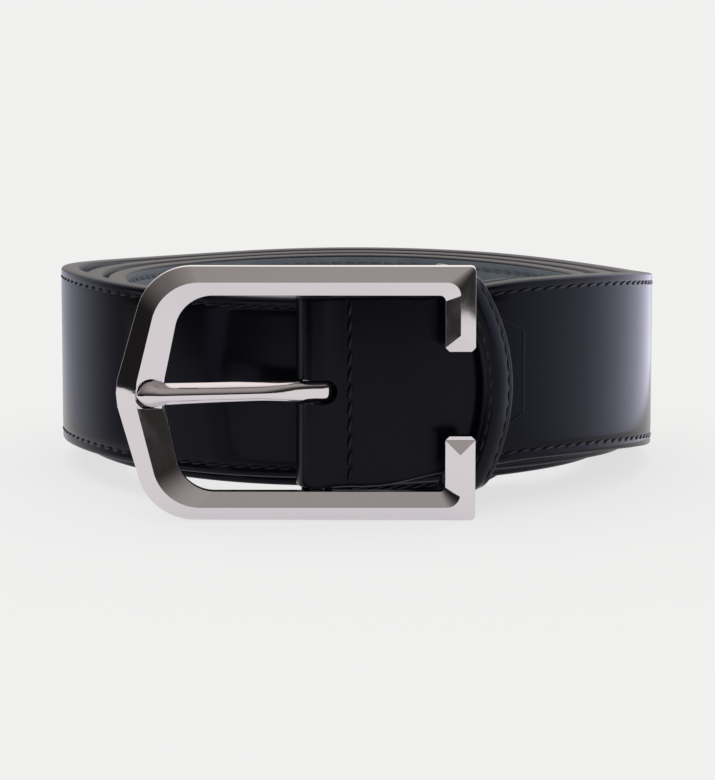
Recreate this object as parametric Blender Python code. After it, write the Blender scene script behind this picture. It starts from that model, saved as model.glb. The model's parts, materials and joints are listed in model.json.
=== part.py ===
"""A leather dress belt, coiled and standing on its edge, with the buckle to the front.

The strap winds inwards from the buckle in about three turns. It is a face leather, a filler and
a lining, sewn together along both edges. The face and the lining fold round the buckle's crossbar.
The coil's axis is upright, +X is to the wearer's left along the buckle and -Y is the front.
"""
import math

import bmesh
import bpy
from mathutils import Matrix, Vector

MM = 0.001

# Clearance between pieces that touch on the real belt
GAP = 0.3 * MM

# Strap
STRAP_WIDTH = 35.0 * MM
STRAP_TURNS = 3.16            # turns of the coil, from the bar seam to the tip
FACE_THICK = 1.1 * MM
FILLER_THICK = 0.8 * MM
LINING_THICK = 1.1 * MM
FOLD_LINING_THICK = 0.8 * MM  # the lining is skived where it folds round the bar
TAB_FLARE = 1.0 * MM          # the strap is this much wider at each edge beside the buckle
TAB_FLARE_START = 5.0 * MM    # from the seam: end of the full flare
TAB_FLARE_END = 17.0 * MM     # from the seam: nominal width again
TURNED_END = 34.0 * MM        # length of the turned-back end, from the seam
TIP_LENGTH = 24.0 * MM
TIP_END_WIDTH = 9.0 * MM
HOLE_COUNT = 5
HOLE_SPACING = 25.0 * MM
HOLE_RADIUS = 2.0 * MM
LAST_HOLE_TO_TIP = 90.0 * MM

# Coil
COIL_RADIUS = 61.6 * MM       # face of the outer turn at the front
LAYER_GAP = 1.1 * MM          # between one turn's lining and the next turn's face
EVEN_STRETCH = math.radians(50)   # the outer turn stays round this far, for the keeper
DIP_HALF_ANGLE = math.radians(85)
DIP_EXTRA = 1.0 * MM          # spare room behind the keeper
STATIONS_PER_TURN = 40
LIFT_BACK = 50.0 * MM         # behind this the coil stands flat on its edge
LIFT_FRONT = -50.0 * MM       # in front of this it has its full lift
LIFT_SKEW_LEFT = 0.25         # the left side follows the lift further back than the right
LIFT_SKEW_RIGHT = 0.1
FIRST_RISE = 2.4 * MM         # past the keeper the outer turn stands higher still
RISE_END = math.radians(110)
LIFT_LOSS = 0.12              # each turn inwards follows the lift less
SAG_START = 2.94             # turns where the free end starts to sag to the table
SAG_END = 3.02

# Sewing
THREAD_WIDTH = 0.55 * MM
THREAD_HEIGHT = 0.3 * MM
THREAD_GAP = 0.12 * MM
STITCH_INSET = 1.9 * MM
SEAM_FROM_BAR = 6.3 * MM

# Buckle frame, seen from the front: a flat heel on the right and a shallow V on the left
WINDOW_CLEARANCE = 0.3 * MM   # between the rails and the flared tab
RAIL_WIDTH = 5.5 * MM
HEEL_WIDTH = 5.7 * MM
HEEL_FROM_BAR = 30.0 * MM     # bar axis to the heel's outer side
POINT_FROM_BAR = 38.0 * MM    # bar axis to the point of the V
POINT_WIDTH = 9.0 * MM        # across the leg at the point
OUTER_RAKE = 0.285            # sideways run of the V's outer side for each unit of height
INNER_RAKE = 0.21
OUTER_FILLET = 10.8 * MM
INNER_FILLET = 7.4 * MM
POINT_BLUNT = 2.6 * MM
HEEL_GAP = 16.2 * MM          # the heel is split in the middle
HIP_LENGTH = 3.3 * MM
EDGE_DEPTH = 2.2 * MM         # flank, from the back plane to the front edge
RIDGE_DEPTH = 3.9 * MM
OUTER_CORNER = 0.9 * MM
INNER_CORNER = 1.1 * MM

# Crossbar and prong
BAR_RADIUS = 1.6 * MM
BAR_SETBACK = 3.4 * MM        # bar axis behind the frame's back plane
BAR_SOCKET = 2.2 * MM         # how far the bar goes into each lug
LUG_WALL = 1.1 * MM
PRONG_WIDTH = 4.1 * MM
PRONG_THICK = 2.8 * MM
PRONG_BULB_WIDTH = 5.2 * MM
PRONG_PROUD = 0.8 * MM        # above the frame's ridge
PRONG_RING_THICK = 1.4 * MM
PRONG_END_FROM_POINT = 4.0 * MM
SEAT_FLOOR = 1.4 * MM         # metal left under the prong's seat
SLOT_CLEARANCE = 0.35 * MM
SLOT_PAST_BAR = 4.7 * MM

# Keeper, a stitched leather loop round the strap
KEEPER_FACE_THICK = 1.1 * MM
KEEPER_LINING_THICK = 0.7 * MM
KEEPER_BAND = 6.4 * MM        # width of the band
KEEPER_BOW = 7.5 * MM         # how far the band's middle bows away from the buckle
KEEPER_RAISE = 1.1 * MM       # the loose loop sits a little high
KEEPER_FROM_AXIS = 22.4 * MM  # along X from the coil's axis to the band's ends
KEEPER_CLEARANCE = 0.9 * MM
KEEPER_HEADROOM = 1.6 * MM     # above and below the widest part of the strap
KEEPER_CORNER = 3.2 * MM
KEEPER_STITCH_INSET = 0.85 * MM

# Worked out from the sizes above
FRAME_HEIGHT = STRAP_WIDTH + 2 * (TAB_FLARE + WINDOW_CLEARANCE + RAIL_WIDTH)
STRAP_THICK = FACE_THICK + FILLER_THICK + LINING_THICK + 2 * GAP
FOLD_THICK = FACE_THICK + FOLD_LINING_THICK + 0.25 * MM
PITCH = STRAP_THICK + LAYER_GAP
FOLD_RADIUS = BAR_RADIUS + GAP + FOLD_THICK
TAB_THICK = STRAP_THICK + GAP + FOLD_THICK
MID_HEIGHT = FRAME_HEIGHT / 2
FULL_LIFT = MID_HEIGHT - STRAP_WIDTH / 2
BAR_Y = -COIL_RADIUS + TAB_THICK / 2
BAR_X = -SEAM_FROM_BAR
FRAME_BACK = BAR_Y - BAR_SETBACK
HEEL_X = BAR_X + HEEL_FROM_BAR
POINT_X = BAR_X - POINT_FROM_BAR
KEEPER_THICK = KEEPER_FACE_THICK + GAP + KEEPER_LINING_THICK
KEEPER_ANGLE = math.asin(KEEPER_FROM_AXIS / COIL_RADIUS)
DIP_CENTRE = KEEPER_ANGLE + math.radians(6)
DIP_DEPTH = TAB_THICK + KEEPER_CLEARANCE + KEEPER_THICK + DIP_EXTRA - PITCH
PRONG_RING_RADIUS = BAR_RADIUS + GAP + PRONG_RING_THICK / 2
SLOT_HALF = PRONG_WIDTH / 2 + SLOT_CLEARANCE


def material(name, colour, roughness, metallic=0.0):
    made = bpy.data.materials.new(name)
    made.use_nodes = True
    shader = made.node_tree.nodes["Principled BSDF"]
    shader.inputs["Base Color"].default_value = (*colour, 1.0)
    shader.inputs["Roughness"].default_value = roughness
    shader.inputs["Metallic"].default_value = metallic
    return made


def add_object(name, mesh, look, parent=None):
    thing = bpy.data.objects.new(name, mesh)
    bpy.context.scene.collection.objects.link(thing)
    if look:
        mesh.materials.append(look)
    if parent:
        thing.parent = parent
        thing.location = -parent.location      # meshes are drawn about the coil's axis
    return thing


def finish_mesh(bm, name, smooth_angle=35):
    """Turns a bmesh into a mesh whose faces point out, smooth except at its corners."""
    bmesh.ops.recalc_face_normals(bm, faces=bm.faces[:])
    mesh = bpy.data.meshes.new(name)
    bm.to_mesh(mesh)
    bm.free()
    mesh.shade_smooth()
    mesh.set_sharp_from_angle(angle=math.radians(smooth_angle))
    return mesh


def loft(rings, name, closed=False):
    """Skins equal rings of points into one closed body, capped unless it closes on itself."""
    bm = bmesh.new()
    made = [[bm.verts.new(point) for point in ring] for ring in rings]
    pairs = list(zip(made, made[1:]))
    if closed:
        pairs.append((made[-1], made[0]))
    for first, second in pairs:
        for side in range(len(first)):
            after = (side + 1) % len(first)
            bm.faces.new((first[side], first[after], second[after], second[side]))
    if not closed:
        bm.faces.new(made[0])
        bm.faces.new(made[-1])
    return finish_mesh(bm, name)


def smoothstep(value):
    value = min(1.0, max(0.0, value))
    return value * value * (3 - 2 * value)


def cut(thing, cutter, operation="DIFFERENCE"):
    tool = thing.modifiers.new(operation.title(), "BOOLEAN")
    tool.operation = operation
    tool.solver = "EXACT"
    tool.object = cutter


def cutter_object(name, mesh, parent=None):
    thing = add_object(name, mesh, None, parent)
    thing.hide_render = True
    thing.display_type = "WIRE"
    return thing


# The coil, seen from above. A winding angle of 0 is the front and it grows towards +X.

def coil_radius(angle):
    """Radius of the face leather's surface at a winding angle."""
    radius = COIL_RADIUS - PITCH * max(0.0, angle - EVEN_STRETCH) / math.tau
    if angle > math.pi:
        off = (angle - DIP_CENTRE + math.pi) % math.tau - math.pi
        reach = min(1.0, abs(off) / DIP_HALF_ANGLE)
        radius -= DIP_DEPTH * math.cos(reach * math.pi / 2) ** 2
    return radius


def on_coil(angle, radius, height=0.0):
    return Vector((radius * math.sin(angle), -radius * math.cos(angle), height))


def coil_lift(point, angle):
    """How far the buckle's height lifts the strap off the ground at this place."""
    turns = max(0.0, angle) / math.tau
    behind = point.y + (LIFT_SKEW_LEFT if point.x < 0 else LIFT_SKEW_RIGHT) * point.x
    share = smoothstep((LIFT_BACK - behind) / (LIFT_BACK - LIFT_FRONT))
    rise = (FIRST_RISE * smoothstep(angle / math.radians(35))
            * smoothstep((RISE_END - angle) / math.radians(80)))
    kept = 1 - LIFT_LOSS * min(turns, 2.0) ** 2
    sag = smoothstep((turns - SAG_START) / (SAG_END - SAG_START))
    return FULL_LIFT * share * kept * (1 - sag) + rise


class Station:
    """One place along the strap: a point on its face, and the way to the lining."""

    def __init__(self, point, angle, stack):
        self.point = point
        self.angle = angle
        self.stack = stack      # 0 in the thin fold, 1 where the filler lies between
        self.half_width = STRAP_WIDTH / 2
        self.inward = Vector((0, 0, 0))
        self.travel = 0.0

    def at(self, depth, height):
        """A point below the face by depth, at a height from the strap's own middle."""
        middle = STRAP_WIDTH / 2 + coil_lift(self.point, self.angle)
        return self.point + self.inward * depth + Vector((0, 0, middle + height))


def bezier(start, start_way, end, end_way, count):
    """Points between two places, leaving and arriving along the given ways."""
    reach = (end - start).length / 3
    near, far = start + start_way * reach, end - end_way * reach
    points = []
    for step in range(1, count):
        t = step / count
        points.append(start * (1 - t) ** 3 + near * 3 * t * (1 - t) ** 2
                      + far * 3 * t * t * (1 - t) + end * t ** 3)
    return points


def strap_route():
    """Stations from the turned-back end, round the bar, along the tab and in to the tip."""
    bar = Vector((BAR_X, BAR_Y, 0))
    inner = COIL_RADIUS - TAB_THICK
    leave = math.radians(25)
    route = []
    end_angle = TURNED_END / COIL_RADIUS
    for step in range(5):
        angle = end_angle * (1 - step / 5)
        route.append(Station(on_coil(angle, inner), angle, 0))

    seam_back = on_coil(0, inner)
    wrap_back = bar + FOLD_RADIUS * Vector((math.sin(leave), math.cos(leave), 0))
    back_way = Vector((-math.cos(leave), math.sin(leave), 0))
    route.append(Station(seam_back, 0, 0))
    for point in bezier(seam_back, Vector((-1, 0, 0)), wrap_back, back_way, 4):
        route.append(Station(point, 0, 0))

    wrap_steps = 16
    for step in range(wrap_steps + 1):
        turn = leave - (math.pi + 2 * leave) * step / wrap_steps
        way = Vector((math.sin(turn), math.cos(turn), 0))
        route.append(Station(bar + FOLD_RADIUS * way, 0, 0))

    seam_front = on_coil(0, COIL_RADIUS)
    wrap_front = route[-1].point
    front_way = Vector((math.cos(leave), math.sin(leave), 0))
    for point in bezier(wrap_front, front_way, seam_front, Vector((1, 0, 0)), 4):
        route.append(Station(point, 0, 0))

    last = STRAP_TURNS * math.tau
    count = round(STRAP_TURNS * STATIONS_PER_TURN)
    for step in range(count + 1):
        angle = last * step / count
        thickening = smoothstep(angle * COIL_RADIUS / (6 * MM))
        route.append(Station(on_coil(angle, coil_radius(angle)), angle, thickening))
    measure_route(route)
    return route


def measure_route(route):
    """Gives each station its way to the lining, its distance along and its half width."""
    for index, station in enumerate(route):
        before = route[max(0, index - 1)].point
        after = route[min(len(route) - 1, index + 1)].point
        way = (after - before).normalized()
        station.inward = Vector((-way.y, way.x, 0))
        if index:
            station.travel = route[index - 1].travel + (station.point - before).length
    tip = route[-1].travel
    for station in route:
        past_seam = station.angle * COIL_RADIUS
        fade = smoothstep((past_seam - TAB_FLARE_START) / (TAB_FLARE_END - TAB_FLARE_START))
        station.half_width += TAB_FLARE * (1 - fade)
        left = tip - station.travel
        if left < TIP_LENGTH:
            round_off = math.sqrt(max(0.0, 1 - (1 - left / TIP_LENGTH) ** 2))
            narrow = TIP_END_WIDTH / 2
            station.half_width = narrow + (STRAP_WIDTH / 2 - narrow) * round_off


ROUTE = strap_route()
SEAM_INDEX = max(i for i, s in enumerate(ROUTE) if s.angle == 0 and s.stack == 0)


def strap_layer(name, stations, depths):
    """One layer of the strap; depths gives its outer and inner depth below the face."""
    rings = []
    for station in stations:
        outer, inner = depths(station)
        half = station.half_width
        rings.append([station.at(outer, -half), station.at(outer, half),
                      station.at(inner, half), station.at(inner, -half)])
    return loft(rings, name)


def lining_depths(station):
    fold = FOLD_THICK - FOLD_LINING_THICK
    full = STRAP_THICK - LINING_THICK
    outer = fold + (full - fold) * station.stack
    inner = FOLD_THICK + (STRAP_THICK - FOLD_THICK) * station.stack
    return outer, inner


def filler_depths(station):
    outer = FACE_THICK + GAP
    thin = 0.35 * MM
    return outer, outer + thin + (FILLER_THICK - thin) * station.stack


def thread_run(name, spots):
    """A thread lying on the leather: each spot is a place on it and the way out of it."""
    rings = []
    for index, (place, out) in enumerate(spots):
        before = spots[max(0, index - 1)][0]
        after = spots[min(len(spots) - 1, index + 1)][0]
        side = (after - before).cross(out).normalized() * THREAD_WIDTH / 2
        base = place + out * THREAD_GAP
        rings.append([base - side, base + side, base + out * THREAD_HEIGHT])
    return loft(rings, name)


def edge_thread(name, on_face):
    """Along the upper edge, round the tip and back along the lower edge."""
    tip = ROUTE[-1].travel
    start = KEEPER_ANGLE if on_face else (TURNED_END + THREAD_WIDTH) / COIL_RADIUS
    runs = [s for s in ROUTE
            if s.angle > start and s.stack == 1
            and tip - s.travel > STITCH_INSET]
    spots = []
    for side, stations in ((1, runs), (-1, runs[::-1])):
        for station in stations:
            depth = 0.0 if on_face else STRAP_THICK
            out = -station.inward if on_face else station.inward
            height = side * (station.half_width - STITCH_INSET)
            spots.append((station.at(depth, height), out))
    return thread_run(name, spots)


def seam_thread(name, station, out_sign, depth):
    reach = STRAP_WIDTH / 2 - THREAD_WIDTH
    spots = [(station.at(depth, -reach), station.inward * out_sign),
             (station.at(depth, reach), station.inward * out_sign)]
    return thread_run(name, spots)


def hole_cutters():
    """Punches for the belt holes, counted back from the tip."""
    bm = bmesh.new()
    tip = ROUTE[-1].travel
    for index in range(HOLE_COUNT):
        target = tip - LAST_HOLE_TO_TIP - index * HOLE_SPACING
        station = min(ROUTE, key=lambda s: abs(s.travel - target))
        centre = station.at(STRAP_THICK / 2, 0)
        turn = Vector((0, 0, 1)).rotation_difference(station.inward).to_matrix().to_4x4()
        turn.translation = centre
        bmesh.ops.create_cone(bm, cap_ends=True, segments=12, radius1=HOLE_RADIUS,
                              radius2=HOLE_RADIUS, depth=STRAP_THICK + 0.6 * MM, matrix=turn)
    return finish_mesh(bm, "strap_holes")


def box_mesh(name, low, high):
    bm = bmesh.new()
    bmesh.ops.create_cube(bm, size=1.0)
    for vertex in bm.verts:
        for axis in range(3):
            share = vertex.co[axis] + 0.5
            vertex.co[axis] = low[axis] + (high[axis] - low[axis]) * share
    return finish_mesh(bm, name)


def slot_mesh(name, left, right, front, back, half):
    """A slot cutter along X whose right end is round, seen from the front."""
    bm = bmesh.new()
    outline = [(left, -half), (left, half)]
    for step in range(9):
        turn = math.pi * step / 8
        outline.append((right - half + half * math.sin(turn), half * math.cos(turn)))
    face = bm.faces.new([bm.verts.new((x, front, MID_HEIGHT + z)) for x, z in outline])
    pushed = bmesh.ops.extrude_face_region(bm, geom=[face])
    moved = [item for item in pushed["geom"] if isinstance(item, bmesh.types.BMVert)]
    bmesh.ops.translate(bm, verts=moved, vec=(0, back - front, 0))
    return finish_mesh(bm, name)


# The buckle frame

def frame_outline(half_height, heel_x, corner, point_x, rake, fillet, blunt):
    """Upper half of one contour, from the heel's split to the V's point, as (x, height)."""
    points = [(heel_x, HEEL_GAP / 2), (heel_x, HEEL_GAP / 2 + HIP_LENGTH)]
    for step in range(5):
        turn = math.pi / 2 * step / 4
        points.append((heel_x - corner + corner * math.cos(turn),
                       half_height - corner + corner * math.sin(turn)))
    slope = math.atan2(1.0, rake)
    crown_x = point_x + blunt * rake * 0.35 + (half_height - blunt) * rake
    tangent = fillet * math.tan(slope / 2)
    centre_x = crown_x + tangent
    for step in range(9):
        turn = math.pi / 2 + slope * step / 8
        points.append((centre_x + fillet * math.cos(turn),
                       half_height - fillet + fillet * math.sin(turn)))
    points.append((point_x + blunt * rake * 0.35, blunt))
    return points


def frame_contours():
    outer = frame_outline(FRAME_HEIGHT / 2, HEEL_X, OUTER_CORNER, POINT_X,
                          OUTER_RAKE, OUTER_FILLET, POINT_BLUNT)
    inner = frame_outline(FRAME_HEIGHT / 2 - RAIL_WIDTH, HEEL_X - HEEL_WIDTH, INNER_CORNER,
                          POINT_X + POINT_WIDTH, INNER_RAKE, INNER_FILLET, POINT_BLUNT)
    ridge = frame_outline((FRAME_HEIGHT - RAIL_WIDTH) / 2, HEEL_X - HEEL_WIDTH / 2,
                          0.3 * MM, POINT_X + POINT_WIDTH * 0.43,
                          (OUTER_RAKE + INNER_RAKE) / 2, (OUTER_FILLET + INNER_FILLET) / 2,
                          POINT_BLUNT)
    whole = []
    for contour, point_x in ((outer, POINT_X), (ridge, POINT_X + POINT_WIDTH * 0.43),
                             (inner, POINT_X + POINT_WIDTH)):
        lower = [(x, -z) for x, z in reversed(contour)]
        whole.append(contour + [(point_x, 0.0)] + lower)
    return whole


def frame_mesh(name):
    outer, ridge, inner = frame_contours()
    bm = bmesh.new()

    def spot(place, depth):
        return bm.verts.new((place[0], FRAME_BACK - depth, MID_HEIGHT + place[1]))

    rings = []
    last = len(outer) - 1
    for index in range(last + 1):
        ring = [spot(outer[index], 0), spot(outer[index], EDGE_DEPTH)]
        if 0 < index < last:
            ring.append(spot(ridge[index], RIDGE_DEPTH))
        ring += [spot(inner[index], EDGE_DEPTH), spot(inner[index], 0)]
        rings.append(ring)
    for first, second in zip(rings[1:-1], rings[2:-1]):
        for side in range(5):
            after = (side + 1) % 5
            bm.faces.new((first[side], first[after], second[after], second[side]))
    for end, ring in ((rings[0], rings[1]), (rings[-1], rings[-2])):
        bm.faces.new(end)
        bm.faces.new((end[0], end[1], ring[1], ring[0]))
        bm.faces.new((end[1], ring[2], ring[1]))
        bm.faces.new((end[1], end[2], ring[2]))
        bm.faces.new((end[2], ring[3], ring[2]))
        bm.faces.new((end[2], end[3], ring[4], ring[3]))
        bm.faces.new((end[3], end[0], ring[0], ring[4]))
    return finish_mesh(bm, name, 12)


def lug_mesh(side):
    """A lug behind a rail that holds one end of the crossbar."""
    reach = BAR_RADIUS + GAP + LUG_WALL
    inner_z = MID_HEIGHT + side * (FRAME_HEIGHT / 2 - RAIL_WIDTH + 0.1 * MM)
    outer_z = MID_HEIGHT + side * (FRAME_HEIGHT / 2 - RAIL_WIDTH + BAR_SOCKET + LUG_WALL)
    low = (BAR_X - reach, FRAME_BACK - 0.5 * MM, min(inner_z, outer_z))
    high = (BAR_X + reach, BAR_Y + reach, max(inner_z, outer_z))
    return box_mesh("lug", low, high)


def prong_mesh(name):
    """One bent bar: a bulb at the tip, a shank, and a ring round the crossbar."""
    tip = PRONG_END_FROM_POINT - POINT_FROM_BAR
    front = FRAME_BACK - RIDGE_DEPTH - PRONG_PROUD - BAR_Y
    tip_y = front + PRONG_THICK / 2
    ring_y = -PRONG_RING_RADIUS
    full, bulb = PRONG_WIDTH, PRONG_BULB_WIDTH
    shape = [(0.0, 0.34, 0.5), (0.4, 0.64, 0.75), (1.2, 0.88, 0.95), (2.4, 1.0, 1.0),
             (3.7, 0.99, 1.0), (5.0, 0.9, 1.0)]
    places = [(tip + along * MM, tip_y, bulb * width, PRONG_THICK * thick)
              for along, width, thick in shape]
    level = shape[-1][0] * MM
    for share in (0.08, 0.25, 0.5, 0.72, 0.83, 0.92):
        thin = smoothstep((share - 0.65) / 0.3)
        thick = PRONG_THICK + (PRONG_RING_THICK - PRONG_THICK) * thin
        places.append((tip + level + (-tip - level) * share,
                       tip_y + (ring_y - tip_y) * share, full, thick))
    for step in range(11):
        turn = math.radians(238) * step / 10
        places.append((PRONG_RING_RADIUS * math.sin(turn), -PRONG_RING_RADIUS * math.cos(turn),
                       full, PRONG_RING_THICK))
    rings = []
    for index, (x, y, width, thick) in enumerate(places):
        before, after = places[max(0, index - 1)], places[min(len(places) - 1, index + 1)]
        way = Vector((after[0] - before[0], after[1] - before[1], 0)).normalized()
        out = Vector((way.y, -way.x, 0))
        centre = Vector((BAR_X + x, BAR_Y + y, MID_HEIGHT))
        ring = []
        for across, up in ((-0.5, -0.5), (-0.5, 0.05), (-0.36, 0.34), (-0.14, 0.5), (0.14, 0.5),
                           (0.36, 0.34), (0.5, 0.05), (0.5, -0.5)):
            ring.append(centre + out * up * thick + Vector((0, 0, across * width)))
        rings.append(ring)
    return loft(rings, name)


# The keeper

def keeper_height():
    return STRAP_WIDTH / 2 + TAB_FLARE + KEEPER_HEADROOM


def keeper_ring(depth):
    """Rounded outline of the loop, as (radius, height) from outside the front round to it."""
    outer = COIL_RADIUS + KEEPER_CLEARANCE + depth
    inner = COIL_RADIUS - TAB_THICK - KEEPER_CLEARANCE - depth
    half = keeper_height() + depth
    corner = KEEPER_CORNER - (KEEPER_THICK - depth) * 0.5
    corner = min(corner, (outer - inner) / 2 - 0.1 * MM)
    points = []
    for quarter, (radius, height) in enumerate(((outer - corner, half - corner),
                                                (inner + corner, half - corner),
                                                (inner + corner, corner - half),
                                                (outer - corner, corner - half))):
        if quarter in (1, 3):
            sign = 1 if quarter == 1 else -1
        for step in range(5):
            turn = math.pi / 2 * (quarter + step / 4)
            points.append((radius + corner * math.cos(turn), height + corner * math.sin(turn)))
        if quarter in (1, 3):
            edge = points[-1][0]
            for share in (0.6, 0.2, -0.2, -0.6):
                points.append((edge, sign * share * (half - corner)))
    return points


def keeper_point(radius, height, across):
    """A point of the loop; across runs along the strap from the band's middle."""
    half = keeper_height() + KEEPER_THICK
    height += KEEPER_RAISE
    bow = KEEPER_BOW * (1 - (height / half) ** 2)
    angle = KEEPER_ANGLE + (across + bow - KEEPER_BOW * 0.25) / COIL_RADIUS
    return on_coil(angle, radius, MID_HEIGHT + height)


def keeper_layer(name, low, high):
    outer, inner = keeper_ring(high), keeper_ring(low)
    rings = []
    half = KEEPER_BAND / 2
    for (outer_r, outer_z), (inner_r, inner_z) in zip(outer, inner):
        rings.append([keeper_point(outer_r, outer_z, -half), keeper_point(outer_r, outer_z, half),
                      keeper_point(inner_r, inner_z, half), keeper_point(inner_r, inner_z, -half)])
    return loft(rings, name, closed=True)


def rod_mesh(name, radius, reach):
    """An upright rod on the crossbar's axis, reaching as far above as below the middle."""
    bm = bmesh.new()
    bmesh.ops.create_cone(bm, cap_ends=True, segments=20, radius1=radius, radius2=radius,
                          depth=2 * reach, matrix=Matrix.Translation((BAR_X, BAR_Y, MID_HEIGHT)))
    return finish_mesh(bm, name)


def keeper_thread(name, side, on_face):
    across = side * (KEEPER_BAND / 2 - KEEPER_STITCH_INSET)
    radius = COIL_RADIUS + KEEPER_CLEARANCE + (KEEPER_THICK if on_face else 0.0)
    reach = keeper_height() - KEEPER_CORNER
    sign = 1 if on_face else -1
    spots = []
    for step in range(13):
        height = reach * (step / 6 - 1)
        place = keeper_point(radius, height, across)
        spots.append((place, Vector((place.x, place.y, 0)).normalized() * sign))
    return thread_run(name, spots)


def pivot(name, place):
    empty = bpy.data.objects.new(name, None)
    empty.empty_display_size = 0.01
    empty.location = place
    bpy.context.scene.collection.objects.link(empty)
    return empty


def centre_shift(things):
    """The move that puts the bottom centre of the bounding box at the origin."""
    spots = [vertex.co for thing in things for vertex in thing.data.vertices]
    low_x, high_x = min(s.x for s in spots), max(s.x for s in spots)
    low_y, high_y = min(s.y for s in spots), max(s.y for s in spots)
    return Vector((-(low_x + high_x) / 2, -(low_y + high_y) / 2, 0))


def build():
    for old in list(bpy.data.objects):
        bpy.data.objects.remove(old)

    calf = material("black_polished_calf", (0.012, 0.013, 0.016), 0.22)
    suede = material("grey_nubuck", (0.07, 0.085, 0.09), 0.9)
    board = material("bonded_leather_board", (0.09, 0.06, 0.04), 0.85)
    thread = material("black_sewing_thread", (0.01, 0.01, 0.012), 0.6)
    metal = material("polished_palladium", (0.78, 0.76, 0.73), 0.12, 1.0)

    frame_pivot = pivot("frame_pivot", Vector((BAR_X, BAR_Y, MID_HEIGHT)))
    prong_pivot = pivot("prong_pivot", Vector((BAR_X, BAR_Y, MID_HEIGHT)))
    keeper_pivot = pivot("keeper_pivot", Vector((0, 0, MID_HEIGHT)))

    # Strap: three layers, a slot for the prong and the punched holes
    filler_run = [s for s in ROUTE if s.stack > 0.25][:-1]
    things = [
        add_object("strap_face", strap_layer("strap_face", ROUTE, lambda s: (0, FACE_THICK)), calf),
        add_object("strap_filler", strap_layer("strap_filler", filler_run, filler_depths), board),
        add_object("strap_lining", strap_layer("strap_lining", ROUTE, lining_depths), suede),
    ]
    holes = cutter_object("strap_holes", hole_cutters())
    reach = FOLD_RADIUS + 2 * MM
    slot = cutter_object("prong_slot", slot_mesh("prong_slot", BAR_X - reach, BAR_X + SLOT_PAST_BAR,
                                                 BAR_Y - reach, BAR_Y + 4.8 * MM, SLOT_HALF))
    for layer in things:
        cut(layer, holes)
    cut(things[0], slot)
    cut(things[2], slot)

    # Sewing
    seam = ROUTE[SEAM_INDEX]
    back_seam = next(s for s in ROUTE if s.angle == 0)
    things += [
        add_object("edge_needle_thread", edge_thread("edge_needle_thread", True), thread),
        add_object("edge_bobbin_thread", edge_thread("edge_bobbin_thread", False), thread),
        add_object("seam_needle_thread", seam_thread("seam_needle_thread", seam, -1, 0), thread),
        add_object("seam_bobbin_thread", seam_thread("seam_bobbin_thread", back_seam, -1, 0), thread),
    ]

    # Buckle
    frame = add_object("buckle_frame", frame_mesh("buckle_frame"), metal, frame_pivot)
    cutters = [holes, slot]
    for side, name in ((1, "upper_lug"), (-1, "lower_lug")):
        lug = cutter_object(name, lug_mesh(side), frame_pivot)
        cut(frame, lug, "UNION")
        cutters.append(lug)
    seat_floor = FRAME_BACK - SEAT_FLOOR
    seat_half = PRONG_BULB_WIDTH / 2 + GAP
    seat_left = POINT_X + PRONG_END_FROM_POINT - GAP
    seat_mesh = slot_mesh("prong_seat", -seat_left - 15 * MM, -seat_left,
                          FRAME_BACK - 10 * MM, seat_floor, seat_half)
    seat_mesh.transform(Matrix.Scale(-1, 4, (1, 0, 0)))
    seat_mesh.flip_normals()
    seat = cutter_object("prong_seat", seat_mesh, frame_pivot)
    cut(frame, seat)
    bar_reach = FRAME_HEIGHT / 2 - RAIL_WIDTH + BAR_SOCKET
    socket = cutter_object("bar_socket", rod_mesh("bar_socket", BAR_RADIUS + GAP, bar_reach + GAP),
                           frame_pivot)
    cut(frame, socket)
    cutters += [seat, socket]
    things += [
        frame,
        add_object("crossbar", rod_mesh("crossbar", BAR_RADIUS, bar_reach), metal, frame_pivot),
        add_object("prong", prong_mesh("prong"), metal, prong_pivot),
    ]

    # Keeper
    things += [
        add_object("keeper_lining", keeper_layer("keeper_lining", 0, KEEPER_LINING_THICK), suede,
                   keeper_pivot),
        add_object("keeper_face", keeper_layer("keeper_face", KEEPER_THICK - KEEPER_FACE_THICK,
                                               KEEPER_THICK), calf, keeper_pivot),
    ]
    for side, place in ((-1, "near"), (1, "far")):
        for on_face, kind in ((True, "needle"), (False, "bobbin")):
            name = f"keeper_{place}_{kind}_thread"
            made = add_object(name, keeper_thread(name, side, on_face), thread, keeper_pivot)
            things.append(made)

    shift = centre_shift(things)
    for empty in (frame_pivot, prong_pivot, keeper_pivot):
        empty.location += shift
    for thing in things + cutters:
        if thing.parent is None:
            thing.location = shift


build()
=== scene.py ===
import json
import math

import bmesh
import bpy
from mathutils import Matrix, Vector


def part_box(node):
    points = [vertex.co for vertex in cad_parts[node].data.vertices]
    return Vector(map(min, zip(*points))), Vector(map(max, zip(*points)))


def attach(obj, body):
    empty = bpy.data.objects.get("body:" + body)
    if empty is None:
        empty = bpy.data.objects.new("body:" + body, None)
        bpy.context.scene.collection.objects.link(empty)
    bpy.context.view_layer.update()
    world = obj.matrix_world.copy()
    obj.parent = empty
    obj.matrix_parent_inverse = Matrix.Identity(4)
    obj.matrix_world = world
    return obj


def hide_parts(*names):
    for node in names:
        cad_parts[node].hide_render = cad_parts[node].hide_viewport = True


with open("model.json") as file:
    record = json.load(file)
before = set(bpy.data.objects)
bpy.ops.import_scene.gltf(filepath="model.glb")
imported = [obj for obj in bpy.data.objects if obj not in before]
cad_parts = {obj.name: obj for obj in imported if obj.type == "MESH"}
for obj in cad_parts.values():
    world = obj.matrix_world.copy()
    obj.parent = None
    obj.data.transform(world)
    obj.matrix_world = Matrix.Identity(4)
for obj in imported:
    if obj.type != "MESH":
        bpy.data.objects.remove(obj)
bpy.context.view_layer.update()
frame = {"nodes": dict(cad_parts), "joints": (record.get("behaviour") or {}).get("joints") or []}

MM = 0.001


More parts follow.
